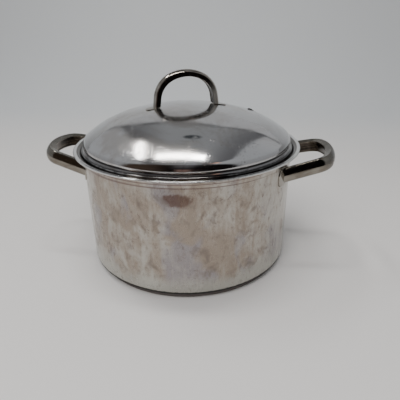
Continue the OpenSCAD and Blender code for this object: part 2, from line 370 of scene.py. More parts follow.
def wall_steel(finish, pot):
    """Satin steel with clouds, runs and blots of heat tint, brownest in the middle of the front,
    a burnt spot there, scratches and turned lines on the flare. Painted shade darkens the outside
    of the lower corner and the groove inside the flare; the wall grows paler towards the bottom as
    a painted reflection of the floor, and the rounded lip is whitened as a painted highlight."""
    g = Graph(bpy.data.materials.new("satin_wall_steel"))
    wear_and_shade = finish.wear_and_shade
    corner_z = pot.base + pot.corner
    to_wall = 9.0  # brings x and y to about 1 at the wall
    x, y, z = g.parts(g.stretched(g.place(), (0.0, 0.0, 0.0), (to_wall, to_wall, 1.0)))
    radius = g.far(x, y) / to_wall
    _, v = g.along()
    outside = g.fade(v, 0.236, 0.239)  # the profile's outer side ends at the lip's edge

    def mottle(rise, *settings):
        """Noise over the wall; the less it rises with height, the longer its runs."""
        return g.noise(g.vector(x, y, z * rise), *settings)

    cloud = mottle(5.0, 2.6, 4.0, 0.55, 0.8)
    patches = mottle(6.0, 6.0, 5.0, 0.62, 1.4)
    runs = mottle(1.0, 22.0, 3.0, 0.6)
    blots = mottle(9.0, 11.0, 3.0, 0.6, 0.8)
    fine = mottle(5.0, 34.0, 4.0, 0.7)
    dents = mottle(9.0, 4.0, 2.0)
    violet = g.step(mottle(6.0, 3.4, 3.0, 0.5, 0.5), 0.48, 0.6)
    front = g.step(0.0 - y, 0.55, 0.95)
    heated = cloud * 0.4 + patches * 0.3 + runs * 0.2 + fine * 0.1 + front * 0.07
    tint = g.step(heated, 0.44, 0.62)
    deep = g.step(patches * 0.4 + blots * 0.4 + fine * 0.2, 0.5, 0.64)
    # Painted reflection: the steel grows paler and greener towards the bottom of the wall, where it
    # mirrors the bright floor; tint and deep stains thin out there.
    foot = g.fade(z + (cloud - 0.5) * 0.04, 0.012, 0.034)
    pale = g.step(blots * 0.4 + runs * 0.3 + fine * 0.3, 0.42, 0.62)
    grain = g.step(fine, 0.52, 0.68)

    spot_at, spot_half = (0.068, 0.1075), (0.13, 0.0085)  # x in wall radii, z in metres
    spot_x, spot_z = (x - spot_at[0]) / spot_half[0], (z - spot_at[1]) / spot_half[1]
    spot = g.far(spot_x, g.math("MAXIMUM", 0.0 - spot_z, spot_z * 1.8))
    spot = spot + (blots - 0.5) * 1.2 + (fine - 0.5) * 0.8
    burnt = g.fade(spot, 0.65, 1.15) * g.step(0.0 - y, 0.3, 0.6) * outside
    # Painted shade: the outside of the lower corner is blackened, rough and not metal, where it
    # would mirror the dark shadow under the pot.
    ragged = z + (fine - 0.5) * 0.002
    corner_shade = g.fade(ragged, corner_z - 0.7 * MM, corner_z + 0.7 * MM) * outside

    groove, lip, flare, crown = rim_masks(g, pot, radius, z)
    turns = g.noise(g.vector(x * 0.4, y * 0.4, z * 620.0), 1.0, 1.0, 0.6)
    lines = g.step(turns, 0.44, 0.54)

    base = g.coats(
        finish.wall,
        (finish.haze, pale * 0.8),
        (g.blend(finish.tint, VIOLET_TINT, violet), tint * (1.0 - foot) * wear_and_shade),
        (DEEP_STAIN, deep * (1.0 - foot * 0.7) * (0.8 * wear_and_shade)),
        # painted reflection of the floor at the bottom of the wall
        (FLOOR_REFLECTION_PALE, foot * (0.5 * wear_and_shade)),
        (DULL_GRAIN, grain * (0.5 * wear_and_shade)),
        (BURNT_BROWN, burnt * (0.95 * wear_and_shade)),
        # painted shade at the wall's lower corner
        (CORNER_SHADE_BLACK, corner_shade * (1.2 * wear_and_shade)),
        # painted shade in the groove inside the flare
        (GROOVE_SHADE, groove * wear_and_shade),
        (LATHE_BROWN, flare * lines * wear_and_shade),
        # painted highlight: the lip whitened beyond the steel's own colour
        (LIP_HIGHLIGHT, lip * (1.0 - groove)),
    )
    marks = g.scratches(g.place(), 0.0, 55.0, 0.012)
    lathe = g.noise(g.vector(x * 0.6, y * 0.6, v * 700.0), 3.0, 3.0, 0.7)
    rough = 0.17 + runs * 0.08 + tint * 0.06 + deep * 0.08 + marks * 0.08
    rough = rough - lip * 0.16 + corner_shade * 0.65
    satin = (lathe * 0.08 + dents * 1.2) * (1.0 - lip) - marks * 0.3
    normal = g.bump(satin * 0.15 + crown * 0.62, 1.0, MM)
    return g.metal(base, rough, normal, Metallic=1.0 - corner_shade * 0.95)


def lid_steel(finish, lid, shape):
    """Polished steel with smudges, specks, fine rings from polishing and a few scratches. The
    dome's foot is a little darkened as a painted dark reflection; the seat flange beyond the dome
    is darkened with painted shade, with gaps in places at the very edge; the vent's edge is dark
    with residue."""
    g = Graph(bpy.data.materials.new("polished_lid_steel"))
    wear_and_shade, seat, seat_z = finish.wear_and_shade, shape.seat, shape.seat_z
    across, along, z, radius = g.around()
    place = g.place()
    x, y, _ = g.parts(place)
    _, v = g.along()
    outside = g.fade(v, 0.1335, 0.1345)  # up to just inside the turned-down edge
    smudge = g.noise(place, 13.0, 5.0, 0.65, 0.8)
    haze = g.step(g.noise(place, 34.0, 4.0, 0.6, 1.0), 0.45, 0.7)
    dirt = g.step(g.noise(place, 420.0, 3.0, 0.7), 0.54, 0.68) * haze
    rings = g.noise(g.vector(across * 0.8, along * 0.8, radius * 700.0), 3.0, 2.0, 0.7)
    marks = g.scratches(place, 1.0, 70.0, 0.014)

    # Painted shade: the seat flange beyond the dome is darkened, with gaps in places at its very
    # edge.
    flange = g.fade(z, seat_z + 5.0 * MM, seat_z + 7.5 * MM) * outside
    flange = flange * g.step(radius, seat - 2.5 * MM, seat - 1.0 * MM)
    shade_gaps = g.step(radius, seat - 0.9 * MM, seat - 0.4 * MM) * g.step(smudge, 0.42, 0.55)
    # Painted dark reflection: the dome's foot is darkened where it mirrors the dark room.
    foot = g.fade(z, seat_z + 7.5 * MM, seat_z + 10.0 * MM) * outside
    foot = foot * g.step(radius, seat - 8.0 * MM, seat - 6.5 * MM)
    vent_x, vent_y, _ = about_z(np.array([lid.vent_at, 0.0, 0.0]), lid.turn).tolist()
    edge = lid.vent / 2
    grime = g.fade(g.far(x - vent_x, y - vent_y), edge + 0.8 * MM, edge + 2.2 * MM)

    base = g.coats(
        finish.lid,
        (LID_SMUDGE, g.step(smudge, 0.45, 0.64) * (0.75 * wear_and_shade)),
        (LID_SPECKS, dirt * (0.8 * wear_and_shade)),
        # painted dark reflection at the dome's foot
        (LID_FOOT_DARK_REFLECTION, foot * (0.3 * wear_and_shade)),
        # painted shade on the seat flange, with gaps at the very edge
        (FLANGE_SHADE, flange * (1.0 - shade_gaps * 0.7) * (1.15 * wear_and_shade)),
        (VENT_GRIME, grime * (1.2 * wear_and_shade)),
    )
    rough = grime * 0.3 + 0.07 + g.step(smudge, 0.42, 0.7) * 0.09 + haze * 0.05
    rough = rough + marks * 0.12 + dirt * 0.15
    height = rings * 0.06 + smudge * 0.5 + dirt * 0.5 - marks * 0.4
    return g.metal(base, rough, g.bump(height, 0.25, 0.4 * MM))


def handle_steel(finish):
    """Polished steel with lines drawn along the strap, browned in places; the side handles are
    duller, most of all on their grips."""
    g = Graph(bpy.data.materials.new("polished_handle_steel"))
    u, v = g.along()
    place = g.place()
    reach = g.math("ABSOLUTE", g.parts(place)[0])
    side = g.step(reach, 0.08, 0.11)  # farther out than the lid's arch
    grip = g.step(reach, 0.138, 0.15)
    drawn = g.noise(g.vector(u * 12.0, v * 1500.0, 0.0), 1.0, 3.0, 0.6)
    dull = g.noise(place, 40.0, 4.0, 0.6, 0.5)
    marks = g.scratches(place, 2.0, 90.0, 0.014)
    stain = g.step(dull * 0.6 + drawn * 0.4, 0.42, 0.6)
    base = g.coats(
        finish.handle,
        (DULL_HANDLE, side * finish.wear_and_shade),
        (HANDLE_STAIN, stain * (0.8 * finish.wear_and_shade)),
        (GRIP_GREY, grip * (0.75 * finish.wear_and_shade)),
    )
    rough = 0.05 + g.step(dull, 0.35, 0.75) * (0.08 + side * 0.1) + marks * 0.1 + grip * 0.2
    height = drawn * (0.1 + grip * 0.3) + dull * 0.3 - marks * 0.4
    return g.metal(base, rough, g.bump(height, 0.25, 0.3 * MM))


def strip_steel():
    """The closing strips' steel, darkened as painted shade inside the channel, with dark and brown
    streaks drawn along them as painted reflections.
    """
    g = Graph(bpy.data.materials.new("shaded_strip_steel"))
    u, v = g.along()
    streaks = g.noise(g.vector(u * 9.0, v * 420.0, 0.0), 1.0, 3.0, 0.6)
    patches = g.noise(g.place(), 60.0, 3.0, 0.6)
    amount = g.step(streaks * 0.6 + patches * 0.4, 0.42, 0.62)
    # painted shade and painted reflections: dark and brown streaks along the strip
    base = g.blend(STRIP_SHADE, STRIP_REFLECTED_BROWN, amount)
    height = streaks * 0.5 + patches * 0.4
    return g.metal(base, 0.16 + patches * 0.2, g.bump(height, 0.3, 0.3 * MM))


def base_steel(finish):
    """Dull steel of the underside: turned rings, worn patches and heat colour; the disc's side
    is darkened with painted shade."""
    g = Graph(bpy.data.materials.new("worn_base_steel"))
    across, along, z, radius = g.around()
    rings = g.noise(g.vector(across * 0.5, along * 0.5, radius * 420.0), 3.0, 3.0, 0.7)
    burnt = g.step(g.noise(g.place(), 11.0, 6.0, 0.65, 0.8), 0.45, 0.75)
    marks = g.scratches(g.place(), 3.0, 60.0, 0.02)
    # Painted shade: the disc's side is darkened where it stands in the shadow under the pot.
    side = g.step(z, 0.2 * MM, 1.2 * MM)
    base = g.coats(BASE_STEEL, (BASE_BURNT, burnt * 0.7), (BASE_SIDE_SHADE, side * (0.95 * finish.wear_and_shade)))
    rough = 0.32 + rings * 0.12 + marks * 0.1
    return g.metal(base, rough, g.bump(rings * 0.6 - marks, 0.4, 0.3 * MM))


def core_metal(finish):
    """Rolled aluminium with straight, faint mill lines."""
    g = Graph(bpy.data.materials.new("rolled_aluminium"))
    x, y, z = g.parts(g.place())
    mill = g.noise(g.vector(x * 4.0, y * 900.0, z * 4.0), 1.0, 3.0)
    base = g.blend(finish.core, MILL_GREY, mill)
    return g.metal(base, 0.38 + mill * 0.1, g.bump(mill, 0.3, 0.3 * MM))


def stage_card(finish):
    """Matt card, the floor's colour in front and the backdrop's behind, faintly uneven."""
    g = Graph(bpy.data.materials.new("stage_card"))
    place = g.place()
    card = g.blend(finish.floor, finish.backdrop, g.step(g.parts(place)[1], 0.25, 0.9))
    base = g.blend(card, CARD_GREY, g.noise(place, 3.0, 3.0) * 0.04)
    fibres = g.bump(g.noise(place, 900.0, 2.0), 0.04, 0.4 * MM)
    return g.metal(base, 0.75, fibres, Metallic=0.0)


# The light that comes from each part of the room
BACK_LOW, BACK_HIGH = (0.38, 0.39, 0.40), (0.45, 0.455, 0.46)
LEFT_SIDE = (0.40, 0.41, 0.42)
TOP_MIDDLE, TOP_EDGE = (0.27, 0.275, 0.28), (0.13, 0.13, 0.135)
SEAM, HOLE = (0.07, 0.07, 0.07), (0.05, 0.055, 0.06)
ROOM_LEFT, ROOM_RIGHT = (0.075, 0.055, 0.042), (0.008, 0.007, 0.007)
ROOM_MIDDLE, ROOM_PATCH = (0.12, 0.115, 0.12), (0.26, 0.17, 0.145)
ROOM_FLOOR, LAMP_GLOW = (0.20, 0.185, 0.18), (1.4, 0.75, 0.5)
SEEN_GREY = (0.43, 0.445, 0.45)


def white_tent():
    """The room that the steel mirrors, by direction (x right, y back, z up): a grey back, a left
    side, a darker top with a seam along its back edge and a dark oval, and an open front onto a
    dark room with a lighter middle, a warm patch and a small lamp. The camera sees plain grey."""
    g = Graph(bpy.data.worlds.new("white_tent"))
    x, y, z = g.parts(g.add("ShaderNodeTexCoord", {}, {}, "Generated"))
    left, right = g.step(x, -0.54, -0.48), g.fade(x, 0.42, 0.46)
    top = g.fade(y, 0.75, 0.77) * left * right
    top_edge = g.math("MAXIMUM", g.step(x, 0.1, 0.42), g.fade(x, -0.5, -0.2))
    seam = g.near(y - 0.748, 0.0, 0.022) * 0.85
    hole = g.fade(g.far((x + 0.04) * 14.0, (y - 0.5) * 22.0), 0.75, 1.2)
    middle = g.near(x - 0.06, 0.08, 0.24)
    patch = g.near(x - 0.07, 0.09, 0.15) * g.fade(z, 0.1, 0.3)
    lamp = g.fade(g.far((x - 0.43) * 16.0, (y + 0.3) * 16.0), 0.5, 1.1)
    room = g.coats(
        g.blend(ROOM_LEFT, ROOM_RIGHT, g.step(x, -0.6, -0.1)),
        (ROOM_MIDDLE, middle * g.step(z, 0.1, 0.8)),
        (ROOM_PATCH, patch),
        (ROOM_FLOOR, g.fade(z, -0.34, -0.22)),
    )
    light = g.coats(
        g.blend(BACK_LOW, BACK_HIGH, g.step(y, 0.3, 0.8)),
        (LEFT_SIDE, 1.0 - left),
        (g.blend(TOP_MIDDLE, TOP_EDGE, top_edge), top),
        (SEAM, seam * g.step(z, -0.1, 0.1)),
        (HOLE, hole),
        (room, g.fade(y, -0.56, -0.42)),
        (LAMP_GLOW, lamp * g.step(z, 0.0, 0.2)),
        (SEEN_GREY, g.add("ShaderNodeLightPath", {}, {}, "Is Camera Ray")),
    )
    shade = g.add("ShaderNodeBackground", {}, {"Color": light, "Strength": 1.0})
    g.add("ShaderNodeOutputWorld", {}, {"Surface": shade}, None)
    return g.holder


# ---- Curves and surfaces ----


def ring(centre, radius, turns):
    """Points of a circle: centre + radius (cos t, sin t), with the turns t in degrees."""
    t = np.radians(turns)
    return np.column_stack([centre[0] + radius * np.cos(t), centre[1] + radius * np.sin(t)])


def arc(centre, radius, start, end, steps=12):
    """A circle's arc in even steps from start to end in degrees."""
    return ring(centre, radius, np.linspace(start, end, steps + 1))


def run(a, b, steps, near=0.12 * MM):
    """A straight line in even steps, with one more point close to each end to hold the shading."""
    size = math.dist(a, b)
    t = np.unique(np.concatenate([np.linspace(0, 1, steps + 1), [near / size, 1 - near / size]]))
    return np.array(a) + t[:, None] * (np.array(b) - np.array(a))


def chain(*curves):
    """Curves joined end to end, without the points that two of them share."""
    points = np.vstack(curves)
    apart = np.linalg.norm(np.diff(points, axis=0), axis=1) > 1e-8
    return points[np.concatenate([[True], apart])]


def turned(profile, directions):
    """Each point (r, z) of a profile goes round the axis: (r cos a, r sin a, z)."""
    r, z = profile[:, :1], profile[:, 1:]
    x, y = r * np.cos(directions), r * np.sin(directions)
    return np.stack([x, y, z + 0 * directions], axis=-1)


def about_z(points, turn):
    """Points turned about the vertical axis."""
    c, s = math.cos(turn), math.sin(turn)
    return points @ np.array([[c, s, 0], [-s, c, 0], [0, 0, 1]])


def distance_along(points, closed):
    """Running length of a polyline, one more value than points if it is closed."""
    line = np.vstack([points, points[:1]]) if closed else points
    return np.concatenate([[0], np.cumsum(np.linalg.norm(np.diff(line, axis=0), axis=1))])


def grid_faces(rows, columns, wrap_rows, wrap_columns):
    """Corner numbers of the quads between a grid's neighbours, and their rows and columns."""
    i, j = np.meshgrid(
        np.arange(rows if wrap_rows else rows - 1),
        np.arange(columns if wrap_columns else columns - 1),
        indexing="ij",
    )
    i, j = i.ravel(), j.ravel()
    di, dj = np.array([0, 1, 1, 0]), np.array([0, 0, 1, 1])
    a, b = i[:, None] + di, j[:, None] + dj
    return (a % rows) * columns + b % columns, a, b


def turned_uv(profile, directions, a, b):
    """The turn and the profile's running length at the quads' corners."""
    s = distance_along(profile, True)
    t = np.append(directions, directions[0] + 2 * np.pi)
    return np.column_stack([t[b.ravel()], s[a.ravel()]])


def add_object(name, mesh, material):
    """Puts a mesh with its material into the scene."""
    mesh.materials.append(material)
    obj = bpy.data.objects.new(name, mesh)
    bpy.context.scene.collection.objects.link(obj)
    return obj


def piece(name, points, quads, uv, caps, material, body, node):
    """A mesh from points, quads, their corners' UV and end caps, facing outwards."""
    mesh = bpy.data.meshes.new(name)
    faces = quads.tolist() + [list(cap) for cap in caps]
    mesh.from_pydata(points.reshape(-1, 3).tolist(), [], faces)
    layer = mesh.uv_layers.new(name="along")
    flat = np.zeros((len(mesh.loops), 2))
    flat[: uv.shape[0]] = uv
    layer.data.foreach_set("uv", flat.ravel())
    work = bmesh.new()
    work.from_mesh(mesh)
    bmesh.ops.remove_doubles(work, verts=work.verts, dist=1e-7)
    bmesh.ops.dissolve_degenerate(work, edges=work.edges, dist=1e-8)
    bmesh.ops.triangulate(work, faces=[f for f in work.faces if len(f.verts) > 4])
    if work.calc_volume(signed=True) < 0:
        bmesh.ops.reverse_faces(work, faces=work.faces)
    loose = [v for v in work.verts if not v.link_faces]
    bmesh.ops.delete(work, geom=loose, context="VERTS")
    work.to_mesh(mesh)
    work.free()
    mesh.shade_smooth()
    mesh.set_sharp_from_angle(angle=math.radians(SHARP_FROM))
    obj = add_object(name, mesh, material)
    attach(obj, body)
    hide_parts(node)


def turned_piece(name, profile, directions, material, node):
    """A piece of the pot: a closed profile turned round the axis, with poles where it meets it."""
    grid = turned(profile, directions)
    quads, a, b = grid_faces(*grid.shape[:2], True, True)
    uv = turned_uv(profile, directions, a, b)
    piece(name, grid, quads, uv, [], material, "pot", node)


class Strap:
    """A bent strap's path: two straight arms, two bends and a bowed middle in one plane."""

    def __init__(self, half, lean, bend, middle, reach):
        """The bend's centre is bend from the arm's line and middle - bend from the bow's centre."""
        self.along = np.array([math.cos(lean), -math.sin(lean)])
        out = np.array([math.sin(lean), math.cos(lean)])
        bow = np.array([reach - middle, 0.0])
        start = np.array([0.0, half]) - out * bend
        w = start - bow
        b = w @ self.along
        centre = start + self.along * (math.sqrt(b * b - w @ w + (middle - bend) ** 2) - b)
        top = 90 - math.degrees(lean)
        meet = math.degrees(math.atan2(centre[1], centre[0] - bow[0]))
        bent = np.radians(np.linspace(top, meet, 25))
        bowed = np.radians(np.linspace(meet, -meet, 41))[1:-1]
        sweep = np.concatenate([bent, bowed, -bent[::-1]])
        self.normal = np.column_stack([np.cos(sweep), np.sin(sweep)])
        upper = centre + bend * self.normal[:25]
        lower = upper[::-1] * np.array([1, -1])
        self.line = np.vstack([upper, bow + middle * self.normal[25:-25], lower])

    def sweep(self, section, put, leave, steps=16):
        """The section's points (a, b) lie at line + a * normal, b above the plane; the arms run
        straight from there back to where put's solid, given by leave, is met."""
        a, b = section[:, 0], section[:, 1]
        path = self.line[:, None, :] + a[None, :, None] * self.normal[:, None, :]
        lift = np.broadcast_to(b, path.shape[:2])
        bent = put(np.concatenate([path, lift[..., None]], axis=-1))
        ends = []
        for side, first in ((1, bent[0]), (-1, bent[-1])):
            way = np.array([self.along[0], side * self.along[1], 0.0])
            d = put(way[None]) - put(np.zeros((1, 3)))
            root = first - d * leave(first, -d)[:, None]
            t = np.linspace(0, 1, steps)[:-1, None, None]
            t = np.concatenate([t[:1], t[1:2] * 0.05, t[1:]])
            ends.append(root + t * (first - root))
        return np.concatenate([ends[0], bent, ends[1][::-1]])


def rounded_side(face, back, depth, bulge, d, q):
    """Half of a strap's section, as an offset d inwards: from the side's end round a fillet of
    radius q onto the bulged face. The fillet's centre is q + d inside the side's line and
    r - d - q from the face's centre."""
    r = (face * face / 4 + bulge * bulge) / (2 * bulge)
    slope = (back - face) / 2 / (depth - bulge)
    e = np.array([-1.0, slope]) / math.hypot(1, slope)
    m = np.array([slope, 1.0]) / math.hypot(1, slope)
    centre = np.array([-r, 0.0])
    start = np.array([-bulge, face / 2]) - m * (q + d)
    w = start - centre
    t = -(w @ e) - math.sqrt((w @ e) ** 2 - w @ w + (r - d - q) ** 2)
    fillet = start + e * t
    side = math.degrees(math.atan2(m[1], m[0]))
    face_turn = math.degrees(math.atan2(fillet[1], fillet[0] + r))
    end = np.array([-depth, face / 2 + slope * (depth - bulge)]) - m * d
    end[0] = -depth
    return end, arc(fillet, q, side, face_turn, 8), arc(centre, r - d, face_turn, 0, 10)


def channel_section(face, back, depth, bulge, sheet, rounds):
    """The bulged face, its two sides and their rounded edges, with the sheet's inner line."""
    end, corner, bow = rounded_side(face, back, depth, bulge, 0.0, rounds[0])
    end_in, corner_in, bow_in = rounded_side(face, back, depth, bulge, sheet, rounds[1])
    soft = 0.3 * MM
    tip = [end + [soft, 0.0], end + [0.1 * soft, -0.25 * soft], end + [0.0, -soft]]
    tip_in = [end_in + [0.0, soft], end_in + [0.1 * soft, 0.25 * soft], end_in + [soft, 0.0]]
    upper = chain(bow[::-1], corner[::-1], run(corner[0], tip[0], 6), tip[1:], tip_in)
    upper = chain(upper, run(tip_in[-1], corner_in[0], 4), corner_in, bow_in)
    lower = upper[::-1] * [1, -1]
    return chain(upper, lower)[:-1]


def strip_section(face, back, depth, bulge, sheet, inset, strip):
    """The closing strip: a flat bar that fills the channel between its sides, inset deep."""
    slope = (back - face) / 2 / (depth - bulge)
    inner, outer = depth - inset, depth - inset - strip
    half = [face / 2 + slope * (x - bulge) - sheet * math.hypot(1, slope) for x in (inner, outer)]
    ease = 0.15 * MM
    right = np.array(
        [[-inner, half[0] - ease], [-inner + 0.3 * ease, half[0] - 0.3 * ease]]
        + [[-inner + ease, half[0]], [-outer, half[1]]]
    )
    top = chain(run((-outer, 0.0), right[3], 4), right[2::-1], run(right[0], (-inner, 0.0), 4))
    return chain(top, top[::-1] * [1, -1])[:-1]


def strap_piece(name, grid, section, material, body, node):
    """A swept section closed at both ends by a cap."""
    rows, columns = grid.shape[:2]
    quads, a, b = grid_faces(rows, columns, False, True)
    s = distance_along(grid[:, 0], False)
    t = distance_along(section, True)
    uv = np.column_stack([s[a.ravel()], t[b.ravel()]])
    caps = [range(columns), range((rows - 1) * columns, rows * columns)]
    piece(name, grid, quads, uv, caps, material, body, node)


class StrapParts:
    """A strap's channel and closing strip: their sections and their steel."""

    def __init__(self, size, hand, finish):
        shape = (size.face, size.back, size.depth, size.bulge)
        rounds = (hand.outer_round, hand.inner_round)
        channel = channel_section(*shape, hand.sheet, rounds)
        strip = strip_section(*shape, hand.sheet, hand.inset, hand.strip)
        self.steel = handle_steel(finish)
        self.parts = (("channel", channel, self.steel), ("strip", strip, strip_steel()))

    def build(self, label, node, body, strap, put, leave, turn=0.0):
        """Sweeps both sections along the strap, turned about the vertical axis."""
        for kind, section, steel in self.parts:
            grid = about_z(strap.sweep(section, put, leave), turn)
            strap_piece(f"{label}_{kind}", grid, section, steel, body, f"{node}_{kind}")


def tab_piece(name, outline, thick, soft, wrap, material, body, node):
    """A thin plate: rings of the outline shrink to its middle, over a rounded edge of radius
    soft; wrap puts (s, t, height) on the carrier's surface."""
    turn = np.radians(np.linspace(0, 90, 6))
    inset = np.concatenate([[0.0], soft * (1 - np.cos(turn)), [soft * 1.3]])
    high = np.concatenate([[0.0], thick - soft + soft * np.sin(turn), [thick]])
    shrink = np.linspace(0.9, 0.0, 9)
    size = np.abs(outline).max(axis=0)
    rings = [outline * (1 - x / size) for x in inset]
    rings += [outline * (1 - inset[-1] / size) * k for k in shrink]
    under = [outline * k for k in shrink[::-1]]
    flat = np.array(rings + under)
    levels = np.concatenate([high, np.full(len(shrink), thick), np.zeros(len(under))])
    levels = np.broadcast_to(levels[:, None, None], flat.shape[:2] + (1,))
    grid = wrap(np.concatenate([flat, levels], axis=-1))
    quads, a, b = grid_faces(*grid.shape[:2], False, True)
    uv = np.column_stack([a.ravel() * MM, b.ravel() * MM])
    piece(name, grid, quads, uv, [], material, body, node)


def rounded_rectangle(width, height, radius):
    """Corner arcs of the radius joined by straight sides, anticlockwise."""
    x, y = width / 2 - radius, height / 2 - radius
    middles = ((x, y), (-x, y), (-x, -y), (x, -y))
    corners = [arc(m, radius, 90 * k, 90 * k + 90, 8) for k, m in enumerate(middles)]
    sides = []
    for k in range(4):
        sides += [corners[k], run(corners[k][-1], corners[(k + 1) % 4][0], 4)[1:-1]]
    return np.vstack(sides)


def flare_start(pot):
    """Radius where the flat lip starts, and height where the flare starts."""
    return pot.diameter / 2 + pot.flare_width, pot.height - pot.sheet - pot.flare_height


def flare_top(pot, r):
    """Height of the flare's upper face: a quarter ellipse from the wall to the lip."""
    lip_start, low = flare_start(pot)
    share_in = (lip_start - r) / (pot.flare_width + pot.sheet)
    return low + (pot.flare_height + pot.sheet) * math.sqrt(1 - share_in**2)


class LidShape:
    """The dome's three arcs, which meet without a kink, as in the solid lid."""

    def __init__(self, lid, pot):
        turn = lid.shoulder_turn
        self.seat = flare_start(pot)[0] - lid.seat_inset
        self.seat_z = pot.height + lid.seat_lift
        self.shoulder = np.array([self.seat - lid.dome_inset - lid.shoulder, pot.height + lid.lift])
        self.shoulder_r, self.shoulder_turn = lid.shoulder, math.degrees(turn)
        reach = (lid.shoulder - lid.flank) * np.array([math.cos(turn), math.sin(turn)])
        self.flank, self.flank_r = self.shoulder + reach, lid.flank
        self.top = pot.height + lid.lift + lid.rise
        drop = self.top - self.flank[1]
        self.crown_r = (self.flank[0] ** 2 + drop**2 - lid.flank**2) / (2 * (drop - lid.flank))
        self.crown_z = self.top - self.crown_r
        self.crown_turn = math.degrees(math.atan2(self.flank[1] - self.crown_z, self.flank[0]))

    def dome(self, d, crowd):
        """Crown, flank and shoulder arcs as an offset d inwards, with more points on the crown
        at the outer sheet's radii in crowd."""
        turns = np.degrees(np.arccos(crowd / self.crown_r))
        turns = np.append(np.linspace(90, self.crown_turn, 45), turns[turns > self.crown_turn])
        turns = np.sort(turns)[::-1]
        turns = turns[np.append(np.diff(turns) < -0.02, True)]
        end = -math.degrees(math.asin((self.shoulder[1] - self.seat_z + d) / (self.shoulder_r - d)))
        curve = chain(
            ring((0.0, self.crown_z), self.crown_r - d, turns),
            arc(self.flank, self.flank_r - d, self.crown_turn, self.shoulder_turn, 16)[1:],
            arc(self.shoulder, self.shoulder_r - d, self.shoulder_turn, end, 26),
        )
        curve[0, 0] = 0.0
        return curve


def lid_rim(pot, lid, shape, outer, inner):
    """From the outer sheet along the seat flange, down the turned-down edge, round its lower end
    and back to the inner sheet, without those sheets' own last points."""
    seat, sheet, hem_r = shape.seat, lid.sheet, lid.hem
    hem = (seat - hem_r, shape.seat_z - hem_r)
    low = flare_top(pot, seat) + lid.gap
    soft = 0.2 * MM
    return chain(
        run(outer[-1], (hem[0], hem[1] + hem_r), 2),
        arc(hem, hem_r, 90, 0, 10),
        run((seat, hem[1]), (seat, low + soft), 2),
        arc((seat - soft, low + soft), soft, 0, -90, 4),
        arc((seat - sheet + soft, low + soft), soft, -90, -180, 4),
        run((seat - sheet, low + soft), (seat - sheet, hem[1]), 2),
        arc(hem, hem_r - sheet, 0, 90, 8),
        run((hem[0], hem[1] + hem_r - sheet), inner[-1], 2),
    )[1:-1]


def open_vent(grid, quads, row, column, lid, shape, outer, inner):
    """Opens the vent in the lid's grid. Cells whose middle lies in the vent are left out, the
    points round them move onto the vent's circle, which looks flattened from above by the dome's
    slope, and quads join the two sheets there. Both sheets rise round the vent by
    collar * exp(-(distance beyond its edge / 0.9 mm)^2). Gives the points, the cells that are
    kept and the hole's quads."""
    rows, columns = grid.shape[:2]
    points, radius = grid.reshape(-1, 3), lid.vent / 2
    slope = math.asin(lid.vent_at / shape.crown_r)
    flat = np.array([math.cos(slope), 1.0])
    vent = np.array([lid.vent_at, 0.0])
    far = np.linalg.norm((points[quads, :2].mean(axis=1) - vent) / flat, axis=1)
    cut = (far < radius) & (row < len(outer) - 1)
    twin = np.isin(row * columns + column, (rows - 2 - row[cut]) * columns + column[cut])
    edge = np.intersect1d(quads[cut], quads[~cut])
    way = (points[edge, :2] - vent) / flat
    bearing = np.arctan2(way[:, 1], way[:, 0])
    edge, bearing = edge[np.argsort(bearing)], np.sort(bearing)
    under = (rows - 1 - edge // columns) * columns + edge % columns
    circle = np.column_stack([np.cos(bearing), np.sin(bearing)]) * radius * flat
    for numbers, curve, d in ((edge, outer, 0.0), (under, inner, lid.sheet)):
        spot = vent + circle - [d * math.sin(slope), 0.0]
        curve = curve[: curve[:, 0].argmax() + 1]
        points[numbers, :2] = spot
        points[numbers, 2] = np.interp(np.linalg.norm(spot, axis=1), curve[:, 0], curve[:, 1])
    beyond = np.linalg.norm((points[:, :2] - vent) / flat, axis=1) - radius
    points[:, 2] += lid.collar * np.exp(-((np.maximum(beyond, 0.0) / (0.9 * MM)) ** 2))
    hole = np.column_stack([edge, np.roll(edge, -1), np.roll(under, -1), under])
    return points, ~(cut | twin), hole


# ---- Stage ----


def card_sheet(name, line, material):
    """A line in the plane x = 0 carried from side to side: (x, line y, line z)."""
    x = np.linspace(-2.2, 2.2, 12)
    grid = np.stack([x + 0 * line[:, :1], line[:, :1] + 0 * x, line[:, 1:] + 0 * x], axis=-1)
    quads, _, _ = grid_faces(*grid.shape[:2], False, False)
    mesh = bpy.data.meshes.new(name)
    mesh.from_pydata(grid.reshape(-1, 3).tolist(), [], quads[:, ::-1].tolist())
    mesh.shade_smooth()
    obj = add_object(name, mesh, material)
    return obj


def looking(way):
    """Turns a light so that it shines along way."""
    back = -way / np.linalg.norm(way)
    side = np.cross([0.0, 1.0, 0.001], back)
    side /= np.linalg.norm(side)
    return Matrix(np.column_stack([side, np.cross(back, side), back]).tolist()).to_4x4()


def soft_light(name, place, aim, size, power, tone, shape="RECTANGLE", mirrored=True):
    """A soft lamp of size (width, depth) that shines from a place at an aim."""
    lamp = bpy.data.lights.new(name, "AREA")
    lamp.shape = shape
    lamp.size, lamp.size_y = size
    lamp.energy = power
    lamp.color = tone
    obj = bpy.data.objects.new(name, lamp)
    obj.visible_glossy = mirrored
    obj.matrix_world = Matrix.Translation(place) @ looking(np.array(aim) - np.array(place))
    bpy.context.scene.collection.objects.link(obj)


